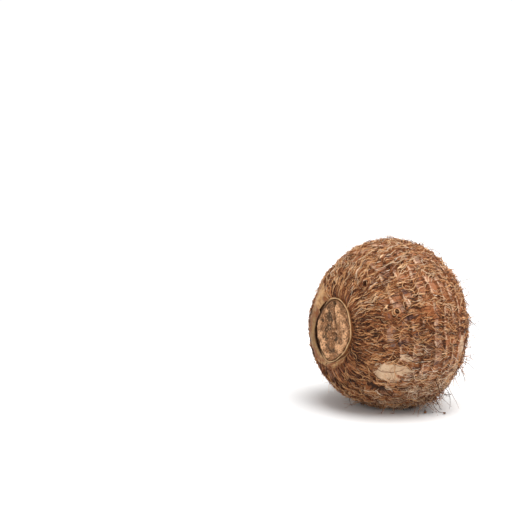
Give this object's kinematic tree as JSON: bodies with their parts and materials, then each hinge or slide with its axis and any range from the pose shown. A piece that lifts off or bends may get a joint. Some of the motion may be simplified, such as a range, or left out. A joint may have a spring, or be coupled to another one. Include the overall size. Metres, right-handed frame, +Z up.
{
  "type": "taro root",
  "caption": "Whole squat round taro corm lying on its side, ringed and fibrous, with a round dried stalk scar at one end and a small blunt bud at the other.",
  "frame": {"origin": "middle of the underside of the corm's box, on the surface it rests on", "axes": "+Z up, +X along the growth axis from the round stalk scar to the bud, +Y across the corm"},
  "size_m": [0.0648, 0.0744, 0.0726],
  "materials": {
    "corm_skin": "dry matt brown bark-like skin with a coat of tan fibres"
  },
  "bodies": {
    "root": {"taro_corm": "corm_skin"}
  },
  "joints": []
}
